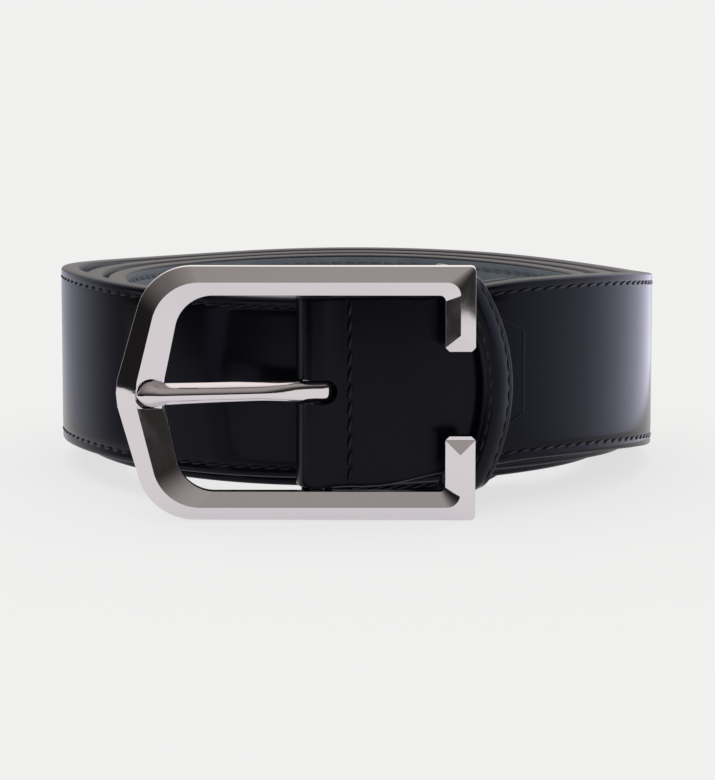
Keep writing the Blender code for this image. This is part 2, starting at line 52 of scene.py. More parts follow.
# ---------------------------------------------------------------- camera and studio
# A long lens from the front, a little above the belt, over a plain off-white table.
# The room is bright at the sides and behind, and dim in front, where the camera stands.
COIL_AXIS = Vector(next(j for j in frame["joints"] if j["name"] == "keeper_slide")["pos_m"])
COIL_AXIS.z = 0
CAMERA_DISTANCE = 851 * MM
CAMERA_HEIGHT = 162.5 * MM
CAMERA_PITCH = 9.905
camera = bpy.data.objects.new("camera", bpy.data.cameras.new("camera"))
bpy.context.scene.collection.objects.link(camera)
camera.data.lens = 195.3
camera.location = (0.2 * MM, COIL_AXIS.y - CAMERA_DISTANCE, CAMERA_HEIGHT)
camera.rotation_euler = (math.radians(90 - CAMERA_PITCH), 0, 0)
camera.data.clip_end = 20
bpy.context.scene.camera = camera
bpy.context.scene.view_settings.view_transform = "Standard"


def linear(code):
    """An sRGB hex colour as linear red, green, blue and alpha."""
    channels = [int(code[i:i + 2], 16) / 255 for i in (0, 2, 4)]
    return [c / 12.92 if c <= 0.04045 else ((c + 0.055) / 1.055) ** 2.4 for c in channels] + [1.0]


def add_node(tree, kind, settings=None, **inputs):
    """Adds a node, sets its properties, and sets or links each named input."""
    node = tree.nodes.new(kind)
    for name, value in (settings or {}).items():
        setattr(node, name, value)
    for name, value in inputs.items():
        socket = node.inputs[int(name[1:])] if name[1:].isdigit() else node.inputs[name.replace("_", " ")]
        if isinstance(value, bpy.types.NodeSocket):
            tree.links.new(value, socket)
        else:
            socket.default_value = value
    return node


def material(name, colour, roughness, metallic=0.0, ior=1.5):
    made = bpy.data.materials.new(name)
    made.use_nodes = True
    shader = made.node_tree.nodes["Principled BSDF"]
    shader.inputs["Base Color"].default_value = linear(colour)
    shader.inputs["Roughness"].default_value = roughness
    shader.inputs["Metallic"].default_value = metallic
    shader.inputs["IOR"].default_value = ior
    return made, made.node_tree, shader


world = bpy.data.worlds.new("studio")
bpy.context.scene.world = world
world.use_nodes = True
tree = world.node_tree
sky = tree.nodes["Background"]
way = add_node(tree, "ShaderNodeTexCoord")
parts = add_node(tree, "ShaderNodeSeparateXYZ", Vector=way.outputs["Generated"])
ceiling = add_node(tree, "ShaderNodeMapRange", {"interpolation_type": "SMOOTHSTEP"}, Value=parts.outputs["Z"],
                   From_Min=0.1, From_Max=0.85, To_Min=0.03, To_Max=0.4)
side = add_node(tree, "ShaderNodeMapRange", Value=parts.outputs["X"], From_Min=-0.6, From_Max=0.0,
                To_Min=0.45, To_Max=1.0)
front = add_node(tree, "ShaderNodeMath", {"operation": "MULTIPLY"}, _0=ceiling.outputs["Result"],
                 _1=side.outputs["Result"])
behind = add_node(tree, "ShaderNodeMapRange", {"interpolation_type": "SMOOTHSTEP"}, Value=parts.outputs["Y"],
                  From_Min=-0.1, From_Max=0.4)
mixed = add_node(tree, "ShaderNodeMix", {"data_type": "FLOAT"}, Factor=behind.outputs["Result"],
                 _2=front.outputs["Value"], _3=1.1)
seen = add_node(tree, "ShaderNodeLightPath")
shown = add_node(tree, "ShaderNodeMix", {"data_type": "FLOAT"}, Factor=seen.outputs["Is Camera Ray"],
                 _2=mixed.outputs["Result"], _3=0.88)
tree.links.new(shown.outputs["Result"], sky.inputs["Strength"])
sky.inputs["Color"].default_value = linear("fff9f2")

# The table is lit from under a translucent white sheet, so shadows on it stay faint.
floor_mesh = bmesh.new()
floor_mesh.faces.new([floor_mesh.verts.new(corner) for corner in
                      ((-0.09, -0.29, 0), (0.26, -0.29, 0), (0.7, 3.7, 0), (-0.7, 3.7, 0),
                       (-0.28, -0.13, 0), (-0.1, -0.16, 0))])
floor_data = bpy.data.meshes.new("table")
floor_mesh.to_mesh(floor_data)
floor_mesh.free()
table = bpy.data.objects.new("table", floor_data)
bpy.context.scene.collection.objects.link(table)
table_paint, tree, shader = material("lit_white_sheet", "747474", 0.9)
shader.inputs["Specular IOR Level"].default_value = 0.0
shader.inputs["Emission Color"].default_value = linear("ffffff")
shader.inputs["Emission Strength"].default_value = 0.715
floor_data.materials.append(table_paint)


CARD_HEIGHT = 200 * MM
CARD_LIFT = 0.5 * MM
CARD_FULL_FROM = 5 * MM


def card(name, place, start, end, low_power, high_power):
    """An upright white card beside the belt, brighter towards the back, seen only as a shine."""
    bm = bmesh.new()
    bmesh.ops.create_grid(bm, x_segments=1, y_segments=1, size=0.5)
    bmesh.ops.transform(bm, verts=bm.verts[:], matrix=Matrix(
        ((0, 0, 1, place), (end - start, 0, 0, (start + end) / 2),
         (0, CARD_HEIGHT, 0, CARD_HEIGHT / 2 + CARD_LIFT), (0, 0, 0, 1))))
    data = bpy.data.meshes.new(name)
    bm.to_mesh(data)
    bm.free()
    made = bpy.data.materials.new(name)
    made.use_nodes = True
    tree = made.node_tree
    tree.nodes.clear()
    spot = add_node(tree, "ShaderNodeTexCoord")
    axes = add_node(tree, "ShaderNodeSeparateXYZ", Vector=spot.outputs["Object"])
    power = add_node(tree, "ShaderNodeMapRange", Value=axes.outputs["Y"], From_Min=start,
                     From_Max=CARD_FULL_FROM, To_Min=low_power, To_Max=high_power)
    glow = add_node(tree, "ShaderNodeEmission", Color=linear("ebebff"), Strength=power.outputs["Result"])
    output = add_node(tree, "ShaderNodeOutputMaterial")
    tree.links.new(glow.outputs["Emission"], output.inputs["Surface"])
    data.materials.append(made)
    thing = bpy.data.objects.new(name, data)
    bpy.context.scene.collection.objects.link(thing)
    thing.visible_camera = False
    thing.visible_diffuse = False
    thing.visible_shadow = False


card("left_card", place=-90 * MM, start=-30 * MM, end=120 * MM, low_power=0.3, high_power=1.0)
card("right_card", place=90 * MM, start=-90 * MM, end=120 * MM, low_power=0.9, high_power=2.3)

sun = bpy.data.objects.new("ceiling_bounce", bpy.data.lights.new("ceiling_bounce", "SUN"))
bpy.context.scene.collection.objects.link(sun)
sun.data.energy = 1.1
sun.data.angle = math.radians(80)
sun.rotation_euler = (math.radians(10), math.radians(-6), 0)
sun.visible_glossy = False


# ---------------------------------------------------------------- strap
# Black box calf, glazed to a deep shine, over a board filler and a matt grey lining.
# The edges are rounded and painted; the buckle end is skived, folded round the bar and turned back.
STRAP_WIDTH = 35.0 * MM
STRAP_TURNS = 3.16
STRAP_THICK = 3.6 * MM
FOLD_THICK = 2.15 * MM
TAB_GAP = 0.3 * MM
TAB_THICK = STRAP_THICK + FOLD_THICK + TAB_GAP
TAB_FLARE = 1.0 * MM
TAB_FLARE_START = 5.0 * MM
TAB_FLARE_END = 17.0 * MM
TURNED_END = 34.0 * MM
TIP_LENGTH = 24.0 * MM
TIP_END_WIDTH = 9.0 * MM
PITCH = 4.7 * MM
EVEN_STRETCH = math.radians(50)
DIP_HALF_ANGLE = math.radians(85)
LIFT_BACK = 50.0 * MM
LIFT_FRONT = -50.0 * MM
LIFT_SKEW_LEFT = 0.25
LIFT_SKEW_RIGHT = 0.1
FIRST_RISE = 2.4 * MM
RISE_END = math.radians(110)
LIFT_LOSS = 0.12
SAG_START = 2.94
SAG_END = 3.02
KEEPER_FROM_AXIS = 22.4 * MM
KEEPER_THICK = 2.1 * MM
KEEPER_CLEARANCE = 0.9 * MM
DIP_SPARE = 1.0 * MM
BAR_CLEARANCE = 0.3 * MM

bar_low, bar_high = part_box("crossbar")
BAR = Vector(((bar_low.x + bar_high.x) / 2, (bar_low.y + bar_high.y) / 2, 0)) - COIL_AXIS
MID_HEIGHT = (bar_low.z + bar_high.z) / 2
FULL_LIFT = MID_HEIGHT - STRAP_WIDTH / 2
COIL_RADIUS = TAB_THICK / 2 - BAR.y
FOLD_RADIUS = (bar_high.x - bar_low.x) / 2 + BAR_CLEARANCE + FOLD_THICK
KEEPER_ANGLE = math.asin(KEEPER_FROM_AXIS / COIL_RADIUS)
DIP_CENTRE = KEEPER_ANGLE + math.radians(6)
DIP_DEPTH = TAB_THICK + KEEPER_CLEARANCE + KEEPER_THICK + DIP_SPARE - PITCH


def smoothstep(value):
    value = min(1.0, max(0.0, value))
    return value * value * (3 - 2 * value)


def coil_radius(angle):
    """The spiral of the face. The turns behind dip inwards to make room for the keeper."""
    radius = COIL_RADIUS - PITCH * max(0.0, angle - EVEN_STRETCH) / math.tau
    if angle > math.pi:
        off = (angle - DIP_CENTRE + math.pi) % math.tau - math.pi
        radius -= DIP_DEPTH * math.cos(min(1.0, abs(off) / DIP_HALF_ANGLE) * math.pi / 2) ** 2
    return radius


def on_coil(angle, radius, height=0.0):
    return Vector((radius * math.sin(angle), -radius * math.cos(angle), height))


def coil_lift(point, angle):
    """How high the strap's lower edge stands: the buckle's rail lifts the front of the coil."""
    turns = max(0.0, angle) / math.tau
    behind = point.y + (LIFT_SKEW_LEFT if point.x < 0 else LIFT_SKEW_RIGHT) * point.x
    share = smoothstep((LIFT_BACK - behind) / (LIFT_BACK - LIFT_FRONT))
    rise = (FIRST_RISE * smoothstep(angle / math.radians(35))
            * smoothstep((RISE_END - angle) / math.radians(80)))
    kept = 1 - LIFT_LOSS * min(turns, 2.0) ** 2
    sag = smoothstep((turns - SAG_START) / (SAG_END - SAG_START))
    return FULL_LIFT * share * kept * (1 - sag) + rise


class Station:
    """A place along the strap: a point of its face, the way to the lining, and its thickness."""

    def __init__(self, point, angle, thick):
        self.point, self.angle, self.thick = point, angle, thick
        self.half, self.travel, self.inward = STRAP_WIDTH / 2, 0.0, Vector((0, 0, 0))

    def at(self, depth, height):
        middle = STRAP_WIDTH / 2 + coil_lift(self.point, self.angle)
        return self.point + self.inward * depth + COIL_AXIS + Vector((0, 0, middle + height))


def curve_between(start, start_way, end, end_way, count):
    reach = (end - start).length / 3
    near, far = start + start_way * reach, end - end_way * reach
    for step in range(1, count):
        t = step / count
        yield (start * (1 - t) ** 3 + near * 3 * t * (1 - t) ** 2
               + far * 3 * t * t * (1 - t) + end * t ** 3)


def strap_route():
    """Stations from the turned-back end, round the bar and along the coil to the tip."""
    inner = COIL_RADIUS - TAB_THICK
    leave = math.radians(25)
    end_angle = TURNED_END / COIL_RADIUS
    route = [Station(on_coil(end_angle * (1 - step / 30), inner), end_angle * (1 - step / 30), FOLD_THICK)
             for step in range(30)]
    seam_back = on_coil(0, inner)
    wrap_back = BAR + FOLD_RADIUS * Vector((math.sin(leave), math.cos(leave), 0))
    route.append(Station(seam_back, 0, FOLD_THICK))
    for point in curve_between(seam_back, Vector((-1, 0, 0)), wrap_back,
                               Vector((-math.cos(leave), math.sin(leave), 0)), 14):
        route.append(Station(point, 0, FOLD_THICK))
    steps = 64
    for step in range(steps + 1):
        turn = leave - (math.pi + 2 * leave) * step / steps
        route.append(Station(BAR + FOLD_RADIUS * Vector((math.sin(turn), math.cos(turn), 0)), 0, FOLD_THICK))
    wrap_front = route[-1].point
    for point in curve_between(wrap_front, Vector((math.cos(leave), math.sin(leave), 0)),
                               on_coil(0, COIL_RADIUS), Vector((1, 0, 0)), 20):
        route.append(Station(point, 0, FOLD_THICK))
    last = STRAP_TURNS * math.tau
    count = round(STRAP_TURNS * 210)
    for step in range(count + 1):
        angle = last * step / count
        thick = FOLD_THICK + (STRAP_THICK - FOLD_THICK) * smoothstep(angle * COIL_RADIUS / (6 * MM))
        route.append(Station(on_coil(angle, coil_radius(angle)), angle, thick))
    for index, station in enumerate(route):
        before, after = route[max(0, index - 1)].point, route[min(len(route) - 1, index + 1)].point
        going = (after - before).normalized()
        station.inward = Vector((-going.y, going.x, 0))
        if index:
            station.travel = route[index - 1].travel + (station.point - before).length
    tip = route[-1].travel
    for station in route:
        past_seam = station.angle * COIL_RADIUS
        station.half += TAB_FLARE * (1 - smoothstep((past_seam - TAB_FLARE_START)
                                                    / (TAB_FLARE_END - TAB_FLARE_START)))
        left = tip - station.travel
        if left < TIP_LENGTH:
            round_off = math.sqrt(max(0.0, 1 - (1 - left / TIP_LENGTH) ** 2))
            narrow = TIP_END_WIDTH / 2
            station.half = narrow + (STRAP_WIDTH / 2 - narrow) * round_off
    return route


ROUTE = strap_route()
SEAM = next(s for s in reversed(ROUTE) if s.angle == 0)
TIP = ROUTE[-1].travel
EDGE_START = SEAM.travel + (KEEPER_ANGLE - math.radians(1)) * COIL_RADIUS


def place_on_strap(travel):
    """The strap's frame at any distance along it, between its stations."""
    low, high = 0, len(ROUTE) - 1
    while high - low > 1:
        middle = (low + high) // 2
        if ROUTE[middle].travel > travel:
            high = middle
        else:
            low = middle
    a, b = ROUTE[low], ROUTE[high]
    share = (travel - a.travel) / max(1e-9, b.travel - a.travel)
    made = Station(a.point.lerp(b.point, share), a.angle + (b.angle - a.angle) * share,
                   a.thick + (b.thick - a.thick) * share)
    made.half = a.half + (b.half - a.half) * share
    made.inward = a.inward.lerp(b.inward, share).normalized()
    made.travel = travel
    return made


def loft(name, rings, marks=None, closed=False, looks=(), spots=None, smooth_angle=40):
    """Skins equal rings of points into a closed piece. marks gives each side of the section its
    material, and spots gives each ring's points their place in the pattern, in metres."""
    bm = bmesh.new()
    uv = bm.loops.layers.uv.new("pattern")
    made = [[bm.verts.new(point) for point in ring] for ring in rings]
    where = {}
    if spots:
        for ring, places in zip(made, spots):
            for vertex, place in zip(ring, places):
                where[vertex] = place
    pairs = list(zip(made, made[1:])) + ([(made[-1], made[0])] if closed else [])
    for first, second in pairs:
        for side in range(len(first)):
            after = (side + 1) % len(first)
            face = bm.faces.new((first[side], first[after], second[after], second[side]))
            face.material_index = marks[side] if marks else 0
    if not closed:
        for ring in (made[0], made[-1]):
            face = bm.faces.new(ring)
            face.material_index = marks[0] if marks else 0
    for face in bm.faces:
        for loop in face.loops:
            loop[uv].uv = where.get(loop.vert, (0, 0))
    bmesh.ops.recalc_face_normals(bm, faces=bm.faces[:])
    mesh = bpy.data.meshes.new(name)
    bm.to_mesh(mesh)
    bm.free()
    mesh.shade_smooth()
    mesh.set_sharp_from_angle(angle=math.radians(smooth_angle))
    return add_piece(name, mesh, looks)


def add_piece(name, mesh, looks):
    thing = bpy.data.objects.new(name, mesh)
    bpy.context.scene.collection.objects.link(thing)
    for look in looks:
        mesh.materials.append(look)
    return thing


def cut_and_apply(thing, cutters):
    """Cuts each cutter out of a piece and keeps the result as its mesh."""
    for cutter in cutters:
        tool = thing.modifiers.new("cut", "BOOLEAN")
        tool.object = cutter
        tool.solver = "EXACT"
    bpy.context.view_layer.update()
    done = bpy.data.meshes.new_from_object(thing.evaluated_get(bpy.context.evaluated_depsgraph_get()))
    thing.modifiers.clear()
    thing.data = done
    for cutter in cutters:
        bpy.data.objects.remove(cutter)


# Glazed box calf: aniline black with a polished, almost glassy finish. Fine hair cells show only
# as a slight waviness of the shine.
calf, tree, shader = material("glazed_box_calf", "0b0c11", 0.2, ior=1.25)
shader.inputs["Specular Tint"].default_value = linear("e6e8ff")
place = add_node(tree, "ShaderNodeTexCoord")
grain = add_node(tree, "ShaderNodeTexNoise", Vector=place.outputs["Object"], Scale=900.0, Detail=4.0)
waves = add_node(tree, "ShaderNodeTexNoise", Vector=place.outputs["Object"], Scale=55.0, Detail=2.0)
fine = add_node(tree, "ShaderNodeBump", Strength=0.05, Distance=0.00004, Height=grain.outputs["Fac"])
broad = add_node(tree, "ShaderNodeBump", Strength=0.10, Distance=0.0006, Height=waves.outputs["Fac"],
                 Normal=fine.outputs["Normal"])
sheen_map = add_node(tree, "ShaderNodeMapRange", Value=waves.outputs["Fac"], To_Min=0.15, To_Max=0.25)
# The skived end of the turned-back leather shows through the face as a faint ridge.
laid_out = add_node(tree, "ShaderNodeUVMap", {"uv_map": "pattern"})
places = add_node(tree, "ShaderNodeSeparateXYZ", Vector=laid_out.outputs["UV"])
from_middle = add_node(tree, "ShaderNodeMath", {"operation": "ABSOLUTE"}, _0=places.outputs["Y"])
corner = add_node(tree, "ShaderNodeMapRange", Value=from_middle.outputs["Value"], From_Min=0.008,
                  From_Max=0.014, To_Max=0.0115)
across = add_node(tree, "ShaderNodeMath", {"operation": "ADD"}, _0=places.outputs["X"],
                  _1=corner.outputs["Result"])
off_end = add_node(tree, "ShaderNodeMath", {"operation": "SUBTRACT"}, _0=across.outputs["Value"],
                   _1=TURNED_END + 1 * MM)
near_end = add_node(tree, "ShaderNodeMath", {"operation": "ABSOLUTE"}, _0=off_end.outputs["Value"])
ridge = add_node(tree, "ShaderNodeMapRange", {"interpolation_type": "SMOOTHSTEP"},
                 Value=near_end.outputs["Value"], From_Max=0.0005, To_Min=1.0, To_Max=0.0)
turned_mark = add_node(tree, "ShaderNodeBump", Strength=0.6, Distance=0.0001, Height=ridge.outputs["Result"],
                       Normal=broad.outputs["Normal"])
tree.links.new(turned_mark.outputs["Normal"], shader.inputs["Normal"])
tree.links.new(sheen_map.outputs["Result"], shader.inputs["Roughness"])

# Edge paint: several coats of black acrylic, sanded and waxed, so the rims are round and satin.
edge_paint, tree, shader = material("waxed_edge_paint", "1c1d26", 0.42, ior=1.3)

# Grey nubuck lining: sanded leather with a short nap, so it is matt and slightly mottled.
nubuck, tree, shader = material("grey_nubuck", "5c6266", 0.88)
place = add_node(tree, "ShaderNodeTexCoord")
nap = add_node(tree, "ShaderNodeTexNoise", Vector=place.outputs["Object"], Scale=1400.0, Detail=5.0)
mottle = add_node(tree, "ShaderNodeTexNoise", Vector=place.outputs["Object"], Scale=160.0, Detail=4.0)
tone = add_node(tree, "ShaderNodeMix", {"data_type": "RGBA"}, Factor=mottle.outputs["Fac"],
                A=linear("626970"), B=linear("838c97"))
rough = add_node(tree, "ShaderNodeBump", Strength=0.5, Distance=0.0002, Height=nap.outputs["Fac"])
tree.links.new(tone.outputs["Result"], shader.inputs["Base Color"])
tree.links.new(rough.outputs["Normal"], shader.inputs["Normal"])

# Border of the strap's section in millimetres: places in from the edge and depths below the face.
# The first four round the rim, and the dip further in is where the edge sewing pulls down.
RIM_POINTS = 4
BORDER = [(0.0, 0.62), (0.04, 0.42), (0.16, 0.2), (0.36, 0.06), (0.7, 0.0), (1.15, 0.02), (1.5, 0.12),
          (1.8, 0.24), (2.05, 0.24), (2.35, 0.1), (2.8, 0.02), (3.6, 0.0)]
FOLD_BULGE = 0.55 * MM
FOLD_BULGE_REACH = 4.7 * MM
SEAM_FROM_BAR = 6.3 * MM
SEAM_GROOVE = 0.32 * MM
SEAM_GROOVE_WIDTH = 0.75 * MM


def strap_section(station):
    """Points round the strap's section and where they lie in the pattern."""
    fade = (smoothstep((station.travel - EDGE_START) / (3 * MM))
            * smoothstep((TIP - station.travel) / MM - 0.3))
    squeeze = min(1.0, station.half / (4.2 * MM))
    past_seam = station.travel - SEAM.travel
    bulge = FOLD_BULGE * max(0.0, 1 - ((past_seam + SEAM_FROM_BAR) / FOLD_BULGE_REACH) ** 2)
    groove = 0.0
    if station.angle < 1:
        groove = SEAM_GROOVE * math.exp(-(past_seam / SEAM_GROOVE_WIDTH) ** 2)
    face, lining = [], []
    for inset, depth in BORDER:
        inset, depth = inset * MM * squeeze, depth * MM
        if inset > 0.5 * MM:
            depth *= fade
        face.append((inset, depth + groove - bulge))
        lining.append((inset, station.thick - depth))
    ring, spots = [], []
    for side, points in ((-1, face), (1, face[::-1]), (1, lining), (-1, lining[::-1])):
        for inset, depth in points:
            height = side * (station.half - inset)
            ring.append(station.at(depth, height))
            spots.append((station.travel - SEAM.travel, height))
    return ring, spots


sections = [strap_section(station) for station in ROUTE]
side_count = len(BORDER)
marks = []
for index in range(4 * side_count):
    quarter, step = divmod(index, side_count)
    near_edge = step < RIM_POINTS - 1 if quarter in (0, 2) else step >= side_count - RIM_POINTS
    if quarter in (1, 3) and step == side_count - 1:
        near_edge = True
    marks.append(1 if near_edge else (0 if quarter < 2 else 2))
strap = loft("strap", [ring for ring, spots in sections], marks, looks=(calf, edge_paint, nubuck),
             spots=[spots for ring, spots in sections])
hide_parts("strap_face", "strap_filler", "strap_lining")
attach(strap, "strap")

# The prong's slot through the fold, and the punched belt holes.
prong_low, prong_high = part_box("prong")


def slot_cutter(name, left, right, front, back, half):
    """A slot along X with a round right end, pushed through from front to back."""
    bm = bmesh.new()
    outline = [(left, -half), (left, half)]
    for step in range(25):
        turn = math.pi * step / 24
        outline.append((right - half + half * math.sin(turn), half * math.cos(turn)))
    face = bm.faces.new([bm.verts.new((x, front, MID_HEIGHT + z)) for x, z in outline])
    pushed = bmesh.ops.extrude_face_region(bm, geom=[face])
    moved = [item for item in pushed["geom"] if isinstance(item, bmesh.types.BMVert)]
    bmesh.ops.translate(bm, verts=moved, vec=(0, back - front, 0))
    bmesh.ops.recalc_face_normals(bm, faces=bm.faces[:])
    mesh = bpy.data.meshes.new(name)
    bm.to_mesh(mesh)
    bm.free()
    return add_piece(name, mesh, (edge_paint,))


BAR_PLACE = BAR + COIL_AXIS
SLOT_HALF = 2.4 * MM
SLOT_LEFT = 9 * MM
SLOT_RIGHT = 3.9 * MM
SLOT_FRONT = 6 * MM
SLOT_BACK = 4.8 * MM
slot = slot_cutter("prong_slot", BAR_PLACE.x - SLOT_LEFT, BAR_PLACE.x + SLOT_RIGHT,
                   BAR_PLACE.y - SLOT_FRONT, BAR_PLACE.y + SLOT_BACK, SLOT_HALF)
HOLE_COUNT = 5
HOLE_RADIUS = 2.0 * MM
HOLE_SPACING = 25.0 * MM
LAST_HOLE_TO_TIP = 90.0 * MM
punches = bmesh.new()
for index in range(HOLE_COUNT):
    spot = place_on_strap(TIP - LAST_HOLE_TO_TIP - index * HOLE_SPACING)
    turn = Vector((0, 0, 1)).rotation_difference(spot.inward).to_matrix().to_4x4()
    turn.translation = spot.at(STRAP_THICK / 2, 0)
    bmesh.ops.create_cone(punches, cap_ends=True, segments=32, radius1=HOLE_RADIUS, radius2=HOLE_RADIUS,
                          depth=STRAP_THICK + 0.7 * MM, matrix=turn)
punch_mesh = bpy.data.meshes.new("punches")
punches.to_mesh(punch_mesh)
punches.free()
cut_and_apply(strap, [slot, add_piece("punches", punch_mesh, (edge_paint,))])


# ---------------------------------------------------------------- strap sewing
# Waxed black polyester, sewn as a lock stitch along both edges and beside the bar. Each stitch
# lies at a slight slant and sinks into the leather at both ends.
waxed_thread, tree, shader = material("waxed_polyester_thread", "0b0c10", 0.3, ior=1.34)
place = add_node(tree, "ShaderNodeTexCoord")
twist = add_node(tree, "ShaderNodeTexWave", {"bands_direction": "DIAGONAL"}, Vector=place.outputs["Object"],
                 Scale=1100.0, Distortion=0.5)
ply = add_node(tree, "ShaderNodeBump", Strength=0.5, Distance=0.00006, Height=twist.outputs["Fac"])
tree.links.new(ply.outputs["Normal"], shader.inputs["Normal"])

# The bobbin thread on the inside is grey, close to the lining.
grey_thread, tree, shader = material("grey_bobbin_thread", "565b60", 0.7)

stitch_ball = bmesh.new()
bmesh.ops.create_uvsphere(stitch_ball, u_segments=8, v_segments=6, radius=0.5,
                          matrix=Matrix.Rotation(math.radians(90), 3, "Y"))
stitch_ball.verts.index_update()
BALL_POINTS = [vertex.co.copy() for vertex in stitch_ball.verts]
BALL_FACES = [[vertex.index for vertex in face.verts] for face in stitch_ball.faces]
stitch_ball.free()


def sew(name, seats, length, width, body, nodes, look=waxed_thread):
    """One stitch for each seat: its middle, the way it runs and the way out of the leather."""
    points, faces = [], []
    for middle, run, out in seats:
        run = run.normalized()
        side = out.cross(run).normalized()
        turn = Matrix((run, side, run.cross(side))).transposed() @ Matrix.Diagonal((length, width, width))
        faces += [[len(points) + corner for corner in face] for face in BALL_FACES]
        points += [middle + turn @ point for point in BALL_POINTS]
    mesh = bpy.data.meshes.new(name)
    mesh.from_pydata(points, [], faces)
    mesh.shade_smooth()
    piece = add_piece(name, mesh, (look,))
    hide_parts(*nodes)
    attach(piece, body)
    return piece


STITCH_INSET = 1.9 * MM
STITCH_PITCH = 3.0 * MM
STITCH_LENGTH = 2.5 * MM
STITCH_SUNK = 0.12 * MM
THREAD = 0.5 * MM
SLANT = 0.16
LAST_STITCH_TO_TIP = 4 * MM
SEAM_PITCH = 3.3 * MM
SEAM_STITCH_LENGTH = 3.0 * MM
SEAM_THREAD = 0.75 * MM
SEAM_SUNK = 0.05 * MM


def edge_seats(on_face, start, end):
    seats = []
    count = int((end - start) / STITCH_PITCH)
    for side in (1, -1):
        for index in range(count):
            spot = place_on_strap(start + (index + 0.5) * STITCH_PITCH)
            along = Vector((spot.inward.y, -spot.inward.x, 0))
            out = -spot.inward if on_face else spot.inward
            depth = STITCH_SUNK if on_face else spot.thick - STITCH_SUNK
            height = side * (spot.half - STITCH_INSET)
            seats.append((spot.at(depth, height), along + Vector((0, 0, SLANT)), out))
    return seats


last_stitch = TIP - LAST_STITCH_TO_TIP
sew("edge_stitches_outside", edge_seats(True, EDGE_START, last_stitch), STITCH_LENGTH, THREAD, "strap",
    ["edge_needle_thread"])
sew("edge_stitches_inside", edge_seats(False, SEAM.travel + TURNED_END + 1 * MM, last_stitch),
    STITCH_LENGTH, THREAD, "strap", ["edge_bobbin_thread"], grey_thread)


def seam_seats(station):
    """Seats up the strap's whole width, across its length."""
    reach = STRAP_WIDTH / 2
    count = round(2 * reach / SEAM_PITCH)
    lean = Vector((station.inward.y, -station.inward.x, 0)) * SLANT
    return [(station.at(SEAM_SUNK, reach * (2 * (index + 0.5) / count - 1)),
             Vector((0, 0, 1)) + lean, -station.inward) for index in range(count)]


back_seam = next(s for s in ROUTE if s.angle == 0)
sew("seam_stitches_front", seam_seats(SEAM), SEAM_STITCH_LENGTH, SEAM_THREAD, "strap",
    ["seam_needle_thread"])
sew("seam_stitches_back", seam_seats(back_seam), SEAM_STITCH_LENGTH, SEAM_THREAD, "strap",
    ["seam_bobbin_thread"])


# ---------------------------------------------------------------- buckle frame
# Zinc alloy, cast with a ridge along the middle of every rail, ground flat on both slopes,
# then polished and plated with palladium. The heel is split, and the point has a seat for the prong.
frame_low, frame_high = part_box("buckle_frame")
RAIL_WIDTH = 5.5 * MM
HEEL_WIDTH = 5.7 * MM
POINT_WIDTH = 9.0 * MM
HEEL_GAP = 16.2 * MM
HIP_LENGTH = 3.3 * MM
END_ROUND = 0.75 * MM
EDGE_DEPTH = 2.2 * MM
LEG_SLIMMING = 1.1 * MM
LEG_SLIM_FROM = 22 * MM
LEG_SLIM_RUN = 14 * MM
RIDGE_DEPTH = 3.9 * MM
RIDGE_ACROSS_POINT = 0.43
POINT_BLUNT = 2.6 * MM
POINT_DRAW = 0.35
LUG_WALL = 1.4 * MM
LUG_PAST_BAR = 1.1 * MM
LUG_SUNK = 0.5 * MM
LUG_FROM_RAIL = 0.1 * MM
SOCKET_CLEARANCE = 0.15 * MM
SOCKET_SPARE = 0.4 * MM
SEAT_CLEARANCE = 0.3 * MM
SEAT_HALF = 2.9 * MM
SEAT_DEPTH = 1.4 * MM
FRAME_BACK = frame_low.y + RIDGE_DEPTH
FRAME_HEIGHT = frame_high.z - frame_low.z
HEEL_X = frame_high.x
POINT_X = frame_low.x

# Polished palladium plate: a bright, slightly warm white metal with a faint orange-peel waviness.
palladium, tree, shader = material("polished_palladium_plate", "e0dade", 0.07, metallic=1.0)
place = add_node(tree, "ShaderNodeTexCoord")
peel = add_node(tree, "ShaderNodeTexNoise", Vector=place.outputs["Object"], Scale=140.0, Detail=1.0)
hairlines = add_node(tree, "ShaderNodeTexNoise", Vector=place.outputs["Object"], Scale=900.0, Detail=3.0)
waviness = add_node(tree, "ShaderNodeBump", Strength=0.10, Distance=0.0004, Height=peel.outputs["Fac"])
polish = add_node(tree, "ShaderNodeMapRange", Value=hairlines.outputs["Fac"], To_Min=0.05, To_Max=0.1)
tree.links.new(waviness.outputs["Normal"], shader.inputs["Normal"])
tree.links.new(polish.outputs["Result"], shader.inputs["Roughness"])


def frame_contour(half_height, heel_x, corner, point_x, rake, fillet, end_shift):
    """One contour of the frame, from the upper end of the heel round to the lower one. corner and
    fillet are its radii at the heel and the legs, and end_shift rounds the heel's two ends."""
    points = [(heel_x + end_shift, HEEL_GAP / 2), (heel_x, HEEL_GAP / 2 + END_ROUND),
              (heel_x, HEEL_GAP / 2 + HIP_LENGTH)]
    for step in range(7):
        turn = math.pi / 2 * step / 6
        points.append((heel_x - corner + corner * math.cos(turn),
                       half_height - corner + corner * math.sin(turn)))
    slope = math.atan2(1.0, rake)
    blunt_x = point_x + POINT_BLUNT * rake * POINT_DRAW
    crown_x = blunt_x + (half_height - POINT_BLUNT) * rake
    centre_x = crown_x + fillet * math.tan(slope / 2)
    for step in range(29):
        turn = math.pi / 2 + slope * step / 28
        points.append((centre_x + fillet * math.cos(turn),
                       half_height - fillet + fillet * math.sin(turn)))
    points.append((blunt_x, POINT_BLUNT))
    return points + [(point_x, 0.0)] + [(x, -z) for x, z in reversed(points)]


